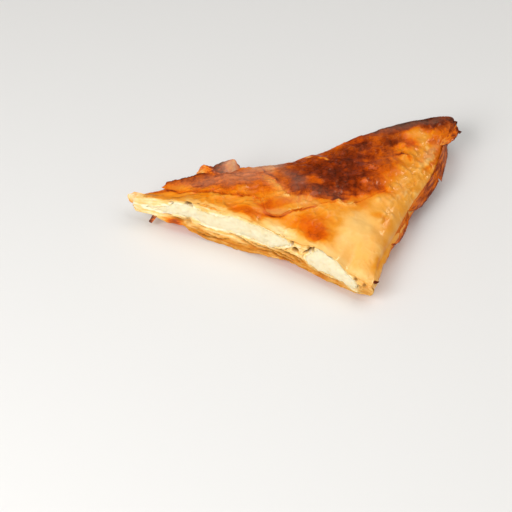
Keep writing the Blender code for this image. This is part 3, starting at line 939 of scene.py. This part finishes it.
def body_mesh():
    """Points and faces of the pastry body, its cut set back behind a thin lip of crust."""
    count_u, count_v = BODY_CELLS
    (u, v, w), faces = shell(levels(count_u, 0.35), levels(count_v, 0.3), BODY_LEVELS)
    depth = cut_hollow(u) * (1 - v) + tip_depth(u) * v
    x = across(u, depth) + side_bulge(u, w)
    y = depth + bulge(w) * smooth(12 * v - 11)
    z = blend(underside(u, depth), crest(u, depth), w)
    z = z + crust_relief(x, y) * relief_strength(u, depth) * smooth((w - 0.8) / 0.2)
    wall = 1 - smooth(np.abs(2 * w - 1) * 2 - 1)
    ripple = wall * (0.8 * grain(y, z, x, size=6, seed=61))
    x = x + ripple * np.where(u > 0.5, 1, -1) * (np.minimum(u, 1 - u) < 0.01)
    recess = smooth(np.minimum(w, 1 - w) / 0.07) * smooth(u / 0.03) * smooth((1 - u) / 0.02)
    ragged = 0.7 * grain(x, z * 0.2, size=3, seed=66)
    y = y + np.where(v < AT_CUT, BODY_RECESS * recess + ragged * (1 - recess), 0)
    under = grain(x, y, size=9, seed=71) * 0.5
    z = np.maximum(z + under * smooth((0.1 - w) / 0.1) * smooth(z / 4), 0)
    return np.stack([x, y, z], 1), faces


def hollowed(piece, nodes):
    """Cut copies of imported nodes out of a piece."""
    for node in nodes:
        cutter = new_object("hollow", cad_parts[node].data.copy())
        cutter.modifiers.new("Join", "WELD").merge_threshold = WELD
        modifier = piece.modifiers.new("Hollow", "BOOLEAN")
        modifier.operation = "DIFFERENCE"
        modifier.solver = "MANIFOLD"
        modifier.object = cutter
        view = bpy.context.evaluated_depsgraph_get()
        result = bpy.data.meshes.new_from_object(piece.evaluated_get(view))
        if len(result.vertices) == len(piece.data.vertices):
            raise RuntimeError("the hollow for " + node + " can't be cut")
        piece.modifiers.clear()
        piece.data = result
        bpy.data.objects.remove(cutter)


def cut_relief(x, z, floor, top):
    """How far the layers on the cut stand out, how open their gaps are, which also sets their painted
    shade, and how far the cheese is.
    """
    cheese = np.minimum(outline_distance(x, z, LONG_TOP, LONG_BOTTOM),
                        outline_distance(x, z, SHORT_TOP, SHORT_BOTTOM))
    cheese = cheese + 0.7 * grain(x, z, size=2, seed=97)
    crust = np.maximum(np.minimum(z - floor, top - z), 0)
    outward = np.maximum(cheese, 0)
    room = outward + crust
    phase = LAYERS_ON_CUT * outward / (room + 0.3) + 0.5 * grain(x, z, size=7, octaves=2, seed=81)
    layer = np.floor(phase)
    between = 1 - 2 * np.abs(phase - layer - 0.5)
    own = grain(x, layer * 9.7, size=9, octaves=2, seed=87)
    seam = grain(x, np.round(phase) * 7.3, size=7, octaves=2, seed=91)
    groove = (1 - smooth(between / 0.45)) * smooth((room - 1) / 2.5)
    opening = 0.6 * groove * smooth(2.4 * seam) * smooth((x - 12) / 8)
    relief = 0.9 * own * smooth(between / 0.3) - 0.25 * groove - 1.6 * opening
    # Each hole is pressed in, with painted shade deep in it
    for place_x, place_z, half_width, half_height, depth, painted_shade in CUT_HOLES:
        q = ((x - place_x) / half_width) ** 2 + ((z - place_z) / half_height) ** 2
        hole = np.exp(-q ** 1.5)
        relief -= depth * hole
        opening = np.maximum(opening, np.minimum(painted_shade * hole, 1))
    for points, half_height, depth in CUT_GAPS:
        distance, place = line_distance(x, z, points)
        taper = np.sqrt(np.clip(4 * place * (1 - place), 0, 1))
        hole = near(distance, half_height * (0.4 + 0.6 * taper)) * taper
        relief -= depth * hole
        opening = np.maximum(opening, hole)
    relief += 0.22 * grain(x, z, size=1.4, seed=95)
    relief -= 2.2 * smooth((-0.2 - cheese) / 0.6)
    ends = smooth((7 - x) / 3) + smooth((x - 115) / 2)
    closed = np.maximum(ends, 0.9 * (1 - smooth(crust / 0.9)))
    relief = relief + np.maximum(0.25 - relief, 0) * closed
    return relief, opening * (1 - 0.8 * closed), cheese


def slab_mesh():
    """The layers on the cut: a slab set between the lips of the crust, open round the cheese."""
    u, w = np.meshgrid(levels(SLAB_CELLS[0]), np.linspace(*SLAB_REACH, SLAB_CELLS[1] + 1),
                       indexing="ij")
    depth = cut_hollow(u)
    floor = underside(u, depth)
    x = across(u, depth)
    top = crust_height(x, depth)
    z = blend(floor, top, w)
    relief, _, cheese = cut_relief(x, z, floor, top)
    side = side_bulge(u, w)
    front = np.stack([x + side, depth - relief, z], -1)
    depth = depth + (1 + (SLAB_DEPTH - 1) * smooth(12 * np.minimum(u, 1 - u)))
    behind = across(np.clip(u, 0.01, 0.99), depth)
    z = np.clip(z, underside(u, depth) + 0.6, crust_height(behind, depth) - 0.7)
    back = np.stack([behind + side, depth, z], -1)
    return thick_sheet(front, back, ~cells(cheese < -SLAB_OVERLAP).all(axis=-1))


def slab_values(points):
    """Bake of the layers on the cut, and the painted shade in their open gaps and on the lower layers.
    """
    x, y, z = points.T
    share = np.clip(x / CUT_LENGTH, 0, 1)
    floor = underside(share, cut_hollow(share))
    top = crust_height(x, cut_hollow(share))
    _, opening, cheese = cut_relief(x, z, floor, top)
    low = z - floor
    # The lower layers are darker: a browner bake, partly painted shade, and some of the gap shade
    # colour, which is painted shade
    lower = smooth((7 - low) / 4) * smooth((x - 22) / 8)
    left_foot = 0.5 * near(x - 18.5, 5.5) * smooth((4.2 - low) / 3)
    square_end = smooth((x - 104) / 6) * (0.04 - 0.15 * lower)
    under_crust = 0.14 * (1 - smooth((top - z) / 1.6))
    streaks = 0.15 * grain(x, z * 5, size=6, seed=101)
    bake = 0.19 + 0.19 * lower + left_foot + square_end + under_crust + streaks
    bake = bake - 0.14 * smooth((1.8 - cheese) / 1.8) - 0.08 * smooth((20 - x) / 10)
    return {"bake": bake, "gap": opening + (1 - opening) * lower * np.clip(0.3 + streaks, 0, 0.5)}


class PieBody(Operator):
    """Build the pastry body with its browned, blistered crust, hollowed for the cheese"""

    bl_idname = "pie.body"
    bl_label = "Pastry body"

    def execute(self, context):
        body = new_piece("pastry_crust", *body_mesh(), "browned filo", "pastry", {})
        hollowed(body, ("cheese_long", "cheese_short"))
        give_values(body.data, body_values(plan_points(body.data)))
        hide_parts("pastry")
        return {"FINISHED"}


class PieLayers(Operator):
    """Build the layers of soft pastry that show on the cut"""

    bl_idname = "pie.layers"
    bl_label = "Layers on the cut"

    def execute(self, context):
        points, faces = slab_mesh()
        values = slab_values(points)
        layers = new_piece("cut_layers", points, faces, "soft filo layers", "pastry", values)
        join_points(layers.data)
        return {"FINISHED"}


def edge_leaf(name, edge, lifts, inward, depth, seed):
    """A leaf of crust with its ragged edge along a line, running under the crust behind it."""
    line, length = along_line(np.column_stack([edge, lifts]), EDGE_LEAF_CELLS[0])
    reach = np.linspace(0, 1, EDGE_LEAF_CELLS[1]) ** 1.5
    ragged = 0.9 * grain(length, 0, size=5, seed=seed)
    rim = np.clip((line[:, 0] - long_edge(line[:, 1])) / 1.2, 1.5, None)
    t = np.minimum(depth, 0.8 * rim)[:, None] * reach[None, :]
    x, y = (line[:, i, None] + inward[i] * (t + ragged[:, None] * (1 - reach)) for i in (0, 1))
    ends = (smooth(length / 3) * smooth((length[-1] - length) / 4))[:, None]
    curl = 0.7 * line[:, 2:] * ends * np.exp(-t / 1.8)
    flutter = 1 + 0.8 * grain(length, 0, size=4, octaves=2, seed=seed + 5)
    dive = 1.1 * smooth((reach[None, :] - 0.55) / 0.45)
    z = crust_height(x, y) + 0.1 + curl * flutter[:, None] - dive - 0.8 * (1 - ends)
    points, faces = leaf_sheet(np.stack([x, y, z], -1))
    lifted = np.clip((line[:, 2:] - 0.4) / 0.8, 0, 1) * ends
    lip = 0.12 * lifted * near(t, 2.2) - 0.08 * (1 - lifted) * np.exp(-t / 0.5)
    values = crust_values(points[:, 0], points[:, 1])
    values["bake"] = values["bake"] - np.tile(lip.ravel(), 2)
    return new_piece(name, points, faces, "browned filo", "pastry", values)


# Torn leaves: where each leaves the pastry, its free edge, how torn that is in millimetres, and
# bake and veil with painted sheen along it, or nothing where it looks like the crust round it
TORN_LEAVES = {
    "leaf_back": (
        ((15, 7.5, 18.5), (19, 12, 19), (24, 16.5, 19.5), (30, 22, 20), (37, 29, 20.5), (46, 38, 20.5),
         (53, 45, 20.5)),
        ((8.4, 9.1, 18), (9.4, 11.2, 18), (9.1, 12.8, 18.2), (10.2, 14.7, 18.4), (14.1, 17.5, 18.8),
         (17.4, 21.4, 19), (19.7, 24, 19.2), (24, 28.5, 19), (30, 33, 19), (35.5, 38.3, 19),
         (38.8, 40.2, 19), (43.1, 42, 19), (47, 44, 19), (50, 46, 18.5), (52.6, 46, 18.5)),
        0.35, None),
    "leaf_curl": (
        ((19.3, 23.8, 18.6), (23, 26, 18.8), (27.3, 27.9, 19), (31.8, 29.5, 19.2), (34.2, 33.3, 19.3),
         (36.2, 37.1, 19)),
        ((19.2, 24.2, 19.5), (19.9, 25.7, 20.5), (20, 27.6, 21.5), (21, 28.7, 22), (23, 29, 22),
         (25.7, 29.8, 22.5), (26.1, 31.2, 22.5), (28.2, 33.3, 23), (30.3, 35.4, 23.5),
         (31.9, 36.5, 24), (33.2, 36.9, 24), (34.5, 36.6, 22.5), (35.8, 37.4, 20)),
        0.12, ((0.40, 0.15), (0.42, 0.15), (0.54, 0), (0.76, 0.1), (0.84, 0.25), (0.50, 0.6),
               (0.42, 0.7), (0.66, 0.3))),
    "leaf_corner": (
        ((4, 3.8, 15.4), (2.6, 1.4, 14), (2.2, 0.9, 11.8), (2.6, 0.9, 9.4), (4.2, 0.9, 7.4)),
        ((-1.5, 3.2, 15.6), (-4.9, 0.4, 14.8), (-4.3, -0.3, 12.8), (-3.3, -0.5, 11.2), (-1, -0.5, 8.8),
         (2.2, -0.3, 7)),
        0.7, ((0.20, 0.3), (0.16, 0.3), (0.16, 0), (0.22, 0))),
    "leaf_under": (
        ((8.2, 1.2, 6.8), (10.4, 1, 6.6)),
        ((6.9, -0.4, 3.2), (8.6, -0.4, 2.9)),
        0.3, ((0.84, 0.1), (0.60, 0.1))),
    "leaf_side": (
        ((115.4, 105, 16.2), (116.8, 98, 16.4), (117.6, 91, 16.2), (118, 83, 15.8)),
        ((117.2, 106.9, 13), (119.2, 101.6, 12), (120.6, 95.4, 11.5), (121.7, 88.3, 11),
         (122.6, 83.7, 10.5)),
        0.2, ((0.66, 0), (0.62, 0.1), (0.70, 0), (0.64, 0))),
    "leaf_side_low": (
        ((118, 86, 15.6), (118.2, 78, 15.4), (117.6, 70, 15), (116.8, 62, 14.6), (116.2, 53, 14)),
        ((121.6, 82.7, 11), (121.4, 78.8, 10.2), (121, 73.5, 9.7), (120.4, 66.7, 9.7),
         (119.6, 61.1, 10.2), (118.6, 57, 11.6), (117.2, 54, 13.2)),
        0.2, ((0.62, 0), (0.68, 0), (0.62, 0), (0.56, 0))),
    "leaf_side_front": (
        ((115.8, 53, 14.4), (115.8, 45, 14), (116, 38, 13.4), (116.6, 29, 12.6)),
        ((117.2, 51.8, 12.6), (118.6, 48.4, 10.6), (119, 43.9, 9.4), (119.2, 38, 9.4), (119, 33, 10.6),
         (117.8, 29.6, 12)),
        0.25, ((0.66, 0), (0.56, 0), (0.54, 0), (0.60, 0))),
    "leaf_tip": (
        ((113, 122, 16.4), (113.5, 119, 17), (113.5, 115, 17.2), (113.5, 110, 17.2), (114.4, 102, 17)),
        ((116.3, 123.2, 15.6), (116.8, 121, 16), (118.4, 118.5, 16), (119.4, 116.5, 15.8),
         (119.5, 113, 15.8), (119.2, 110.2, 15.8), (118, 106.3, 15.8), (115.6, 102.4, 16.4)),
        0.2, ((0.92, 0), (0.74, 0), (0.66, 0), (0.58, 0), (0.50, 0.05), (0.44, 0.1))),
    "leaf_tip_flake": (
        ((117.6, 118.8, 15.8), (118, 116.6, 15.6)),
        ((120.4, 118.2, 15.5), (119.9, 117.2, 15.1)),
        0.1, ((0.92, 0), (0.86, 0))),
    "leaf_square_corner": (
        ((118.4, 4.2, 12.6), (118.2, 2.4, 12.4)),
        ((120.7, 4.2, 12.7), (119.8, 2.8, 12.2)),
        0.15, ((0.86, 0), (0.90, 0))),
}


def torn_leaf(name, root, free, torn, tones, seed):
    """A thin leaf of filo from inside the pastry to a torn edge, laid over what is under it."""
    count, steps = TORN_LEAF_CELLS
    inner, _ = along_line(root, count)
    outer, length = along_line(free, count)
    width = np.linalg.norm(outer - inner, axis=1)
    lost = torn * (0.5 + 1.6 * grain(length, 0, size=2.6, octaves=4, seed=seed))
    reach = 1 - np.clip(lost / width, -0.1, 0.7)
    v = np.linspace(0, 1, steps)
    top = inner[:, None] + (outer - inner)[:, None] * (reach[:, None] * v)[..., None]
    top[..., 1] += 0.6 * v * grain(top[..., 0], top[..., 2], size=3, seed=seed + 3)
    x, y, z = np.moveaxis(top, -1, 0)
    z = z + 0.5 * v * grain(x, y, z, size=4.5, seed=seed + 2)
    laid = crust_height(x, y) + 0.15 - 0.9 * (1 - smooth(v / 0.25))
    over = (share_at(x, y) > 0) & (share_at(x, y) < 1) & (z > laid - 4)
    top[..., 2] = np.where(over, np.maximum(z, laid), z)
    points, faces = leaf_sheet(top)
    values = crust_values(points[:, 0], points[:, 1])
    if tones:
        place = np.repeat(np.linspace(0, len(tones) - 1, count), steps)
        bake, veil = (np.tile(np.interp(place, range(len(tones)), tone), 2) for tone in zip(*tones))
        pattern = grain(place * 2, np.tile(7 * v, count), size=1.4, octaves=4, seed=seed)
        values = {"bake": bake + 0.22 * np.tile(pattern, 2), "veil": veil}
    edge = np.tile(np.exp(-(1 - v) * width[:, None] / 0.5).ravel(), 2)
    values["bake"] = values["bake"] + 0.22 * edge
    values["veil"] = values["veil"] * (1 - 0.6 * edge)
    return new_piece(name, points, faces, "browned filo", "pastry", values)


class PieLeaves(Operator):
    """Build the leaves of filo that lift off the crust, its corners and its sides"""

    bl_idname = "pie.leaves"
    bl_label = "Lifted leaves"

    def execute(self, context):
        edge_leaf("leaf_upper", UPPER_LEAF_EDGE, UPPER_LEAF_LIFT, (-0.35, 0.94), 20, 111)
        edge_leaf("leaf_curled", CURLED_LEAF_EDGE, CURLED_LEAF_LIFT, (-0.8, -0.6), 9, 121)
        for seed, (name, shape) in enumerate(TORN_LEAVES.items()):
            torn_leaf(name, *shape, seed=131 + 7 * seed)
        return {"FINISHED"}


def cheese_mesh(parcel, top_line, bottom_line, seed):
    """Points, faces and yellowed pits of a run of cheese, with its crumbled outline on the cut."""
    count_u, count_v, count_w = CHEESE_CELLS
    (u, v, w), faces = shell(levels(count_u), levels(count_v) ** 2.2, levels(count_w, 0.6))
    across_run = crowd(u, 0.4)
    x_cut = blend(top_line[0][0], top_line[-1][0], across_run)
    ragged = 0.55 * grain(x_cut, w * 3, size=2.2, seed=seed)
    z_cut = blend(height_on(bottom_line, x_cut), height_on(top_line, x_cut), w) + ragged * (2 * w - 1)
    front = np.stack([x_cut, cut_hollow(x_cut / CUT_LENGTH) + CHEESE_SET_BACK, z_cut], -1)
    points = blend(front, parcel_point(parcel, across_run, v, w), smooth(v / CHEESE_FRONT)[:, None])
    x, y, z = points.T
    rim = np.sqrt(np.minimum(4 * w * (1 - w), 1)) * np.sqrt(np.minimum(12 * np.minimum(u, 1 - u), 1))
    lumps = 0.5 * grain(x, z, size=5, octaves=2, seed=seed + 1)
    curds = 0.24 * grain(x, z, size=2, octaves=2, seed=seed + 2)
    y -= (v < AT_CUT) * (1.2 * lumps + curds + 0.9 * rim + 0.1)
    z[:] = np.minimum(z, crust_height(x, y) - 0.9)
    pits = np.clip(-3 * curds - 0.1, 0, 0.5) + 0.6 * (1 - rim) * (v < CHEESE_FRONT)
    return points, faces, pits + 0.7 * smooth((17 - x) / 9)


class PieCheese(Operator):
    """Build the two runs of white cheese"""

    bl_idname = "pie.cheese"
    bl_label = "Cheese"

    def execute(self, context):
        runs = (("cheese_long", LONG_PARCEL, LONG_TOP, LONG_BOTTOM, 151),
                ("cheese_short", SHORT_PARCEL, SHORT_TOP, SHORT_BOTTOM, 157))
        for node, *shape in runs:
            points, faces, pits = cheese_mesh(*shape)
            run = new_piece(node + "_run", points, faces, "white cheese", "cheese", {"gap": pits})
            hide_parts(node)
        return {"FINISHED"}


class PieStage(Operator):
    """Set the plain floor, the soft light and the camera"""

    bl_idname = "pie.stage"
    bl_label = "Stage"

    def execute(self, context):
        settings = context.scene.pie_stage
        self.add_floor(settings)
        self.add_lights(context.scene, settings)
        self.add_camera(context.scene, settings)
        return {"FINISHED"}

    def add_floor(self, settings):
        """A wide pale floor under the base."""
        mesh = bpy.data.meshes.new("floor")
        corners = ((-1, -1), (1, -1), (1, 1), (-1, 1))
        mesh.from_pydata([(x * FLOOR_REACH, y * FLOOR_REACH, 0.0) for x, y in corners], [], [range(4)])
        look = Look("pale floor")
        look.set(Base_Color=(*settings.floor_colour, 1), Roughness=0.6, Specular_IOR_Level=0.2)
        mesh.materials.append(look.material)
        floor = new_object("floor", mesh)

    def add_lights(self, scene, settings):
        """A large soft key from the front left, a fill from above, a gloss light and a pale room."""
        for name, place, size in LAMPS:
            lamp = bpy.data.lights.new(name, "AREA")
            lamp.shape = "SQUARE"
            lamp.size = size
            lamp.energy = getattr(settings, name + "_power")
            holder = new_object(name, lamp)
            holder.location = place
            holder.rotation_mode = "QUATERNION"
            holder.rotation_quaternion = (-Vector(place)).to_track_quat("-Z", "Y")
            if name == "gloss":
                lamp.color = GLOSS_COLOUR
                holder.visible_diffuse = False
        world = bpy.data.worlds.new("room")
        world.use_nodes = True
        room = world.node_tree.nodes["Background"]
        room.inputs["Color"].default_value = ROOM_COLOUR
        room.inputs["Strength"].default_value = settings.room_light
        scene.world = world
        scene.view_settings.view_transform = "Standard"

    def add_camera(self, scene, settings):
        """The camera, with the view that the photograph has of the pie."""
        camera = bpy.data.cameras.new("camera")
        camera.lens = settings.lens
        camera.sensor_width = CAMERA_SENSOR
        scene.camera = new_object("camera", camera)
        right = Vector(CAMERA_RIGHT).normalized()
        up = -Vector(CAMERA_DOWN).normalized()
        turn = Matrix((right, up, right.cross(up))).transposed()
        scene.camera.matrix_world = Matrix.Translation(CAMERA_PLACE) @ turn.to_4x4()


def share_setting(name, description, default):
    """A setting from 0 to 1."""
    return FloatProperty(name=name, description=description, default=default, min=0, max=1,
                         subtype="FACTOR")


def colour_setting(name, description, default, subtype="COLOR"):
    """A setting that is a colour."""
    return FloatVectorProperty(name=name, description=description, default=default, size=3,
                               subtype=subtype)


def light_setting(name, description, default):
    """A setting for the strength of a light."""
    return FloatProperty(name=name, description=description, default=default, min=0)


class PastrySettings(PropertyGroup):
    """Look of the pastry."""

    blotches: share_setting("Blotches", "How much the bake varies over 3 mm", 0.08)
    specks: share_setting("Specks", "How much the bake varies over 1 mm", 0.05)
    roughness: share_setting("Roughness", "Roughness of the crust", 0.42)
    # Colour of the painted shade deep between the layers on the cut
    gap_shade_colour: colour_setting("Gap colour", "Colour deep between layers", (0.23, 0.09, 0.004))
    ember_colour: colour_setting("Ember colour", "Tint of the redder patches", (1, 0.86, 0.45),
                                 "COLOR_GAMMA")
    # Greyish tan of the thin leaves and of the painted sheen
    veil_and_sheen_colour: colour_setting("Veil colour", "Greyish thin leaves on top", (0.76, 0.62, 0.52),
                                "COLOR_GAMMA")


class CheeseSettings(PropertyGroup):
    """Look of the cheese."""

    colour: colour_setting("Colour", "Colour of the cheese", (0.85, 0.76, 0.52))
    pit_colour: colour_setting("Pit colour", "Colour in pits of the cheese", (0.8, 0.62, 0.31))


class StageSettings(PropertyGroup):
    """Floor, light and camera."""

    floor_colour: colour_setting("Floor colour", "Colour of the floor", (0.8, 0.79, 0.77))
    key_power: light_setting("Key light", "Power of the key light in watts", 6.6)
    top_power: light_setting("Top light", "Power of the overhead light in watts", 4)
    gloss_power: light_setting("Gloss light", "Power of the light behind in watts", 2.6)
    room_light: light_setting("Room light", "Brightness of the pale room", 0.3)
    lens: FloatProperty(name="Lens", description="Focal length of the camera",
                        default=CAMERA_LENS, unit="CAMERA")


def finish_named(name):
    """A finish of the pie, made the first time that it is asked for."""
    maker, settings = FINISHES[name]
    return bpy.data.materials.get(name) or maker(getattr(bpy.context.scene, settings))


class PiePanel(Panel):
    """Steps that build the pie"""

    bl_idname = "VIEW3D_PT_pie"
    bl_label = "Cheese pie half"
    bl_space_type = "VIEW_3D"
    bl_region_type = "UI"
    bl_category = "Pie"

    def draw(self, context):
        for step in STEPS:
            self.layout.operator(step.bl_idname)
        for group in (context.scene.pie_pastry, context.scene.pie_cheese, context.scene.pie_stage):
            for name in group.__annotations__:
                self.layout.prop(group, name)


STEPS = (PieBody, PieLayers, PieLeaves, PieCheese, PieStage)
SETTINGS = {"pie_pastry": PastrySettings, "pie_cheese": CheeseSettings, "pie_stage": StageSettings}


def register():
    """Register the settings, the steps and the panel."""
    for name, group in SETTINGS.items():
        bpy.utils.register_class(group)
        setattr(bpy.types.Scene, name, PointerProperty(type=group))
    for step in STEPS:
        bpy.utils.register_class(step)
    bpy.utils.register_class(PiePanel)


def unregister():
    """Remove what register added."""
    bpy.utils.unregister_class(PiePanel)
    for step in STEPS:
        bpy.utils.unregister_class(step)
    for name, group in SETTINGS.items():
        delattr(bpy.types.Scene, name)
        bpy.utils.unregister_class(group)


def main():
    """Build every piece and the stage."""
    register()
    bpy.ops.pie.body()
    bpy.ops.pie.layers()
    bpy.ops.pie.leaves()
    bpy.ops.pie.cheese()
    bpy.ops.pie.stage()


if __name__ == "__main__":
    main()
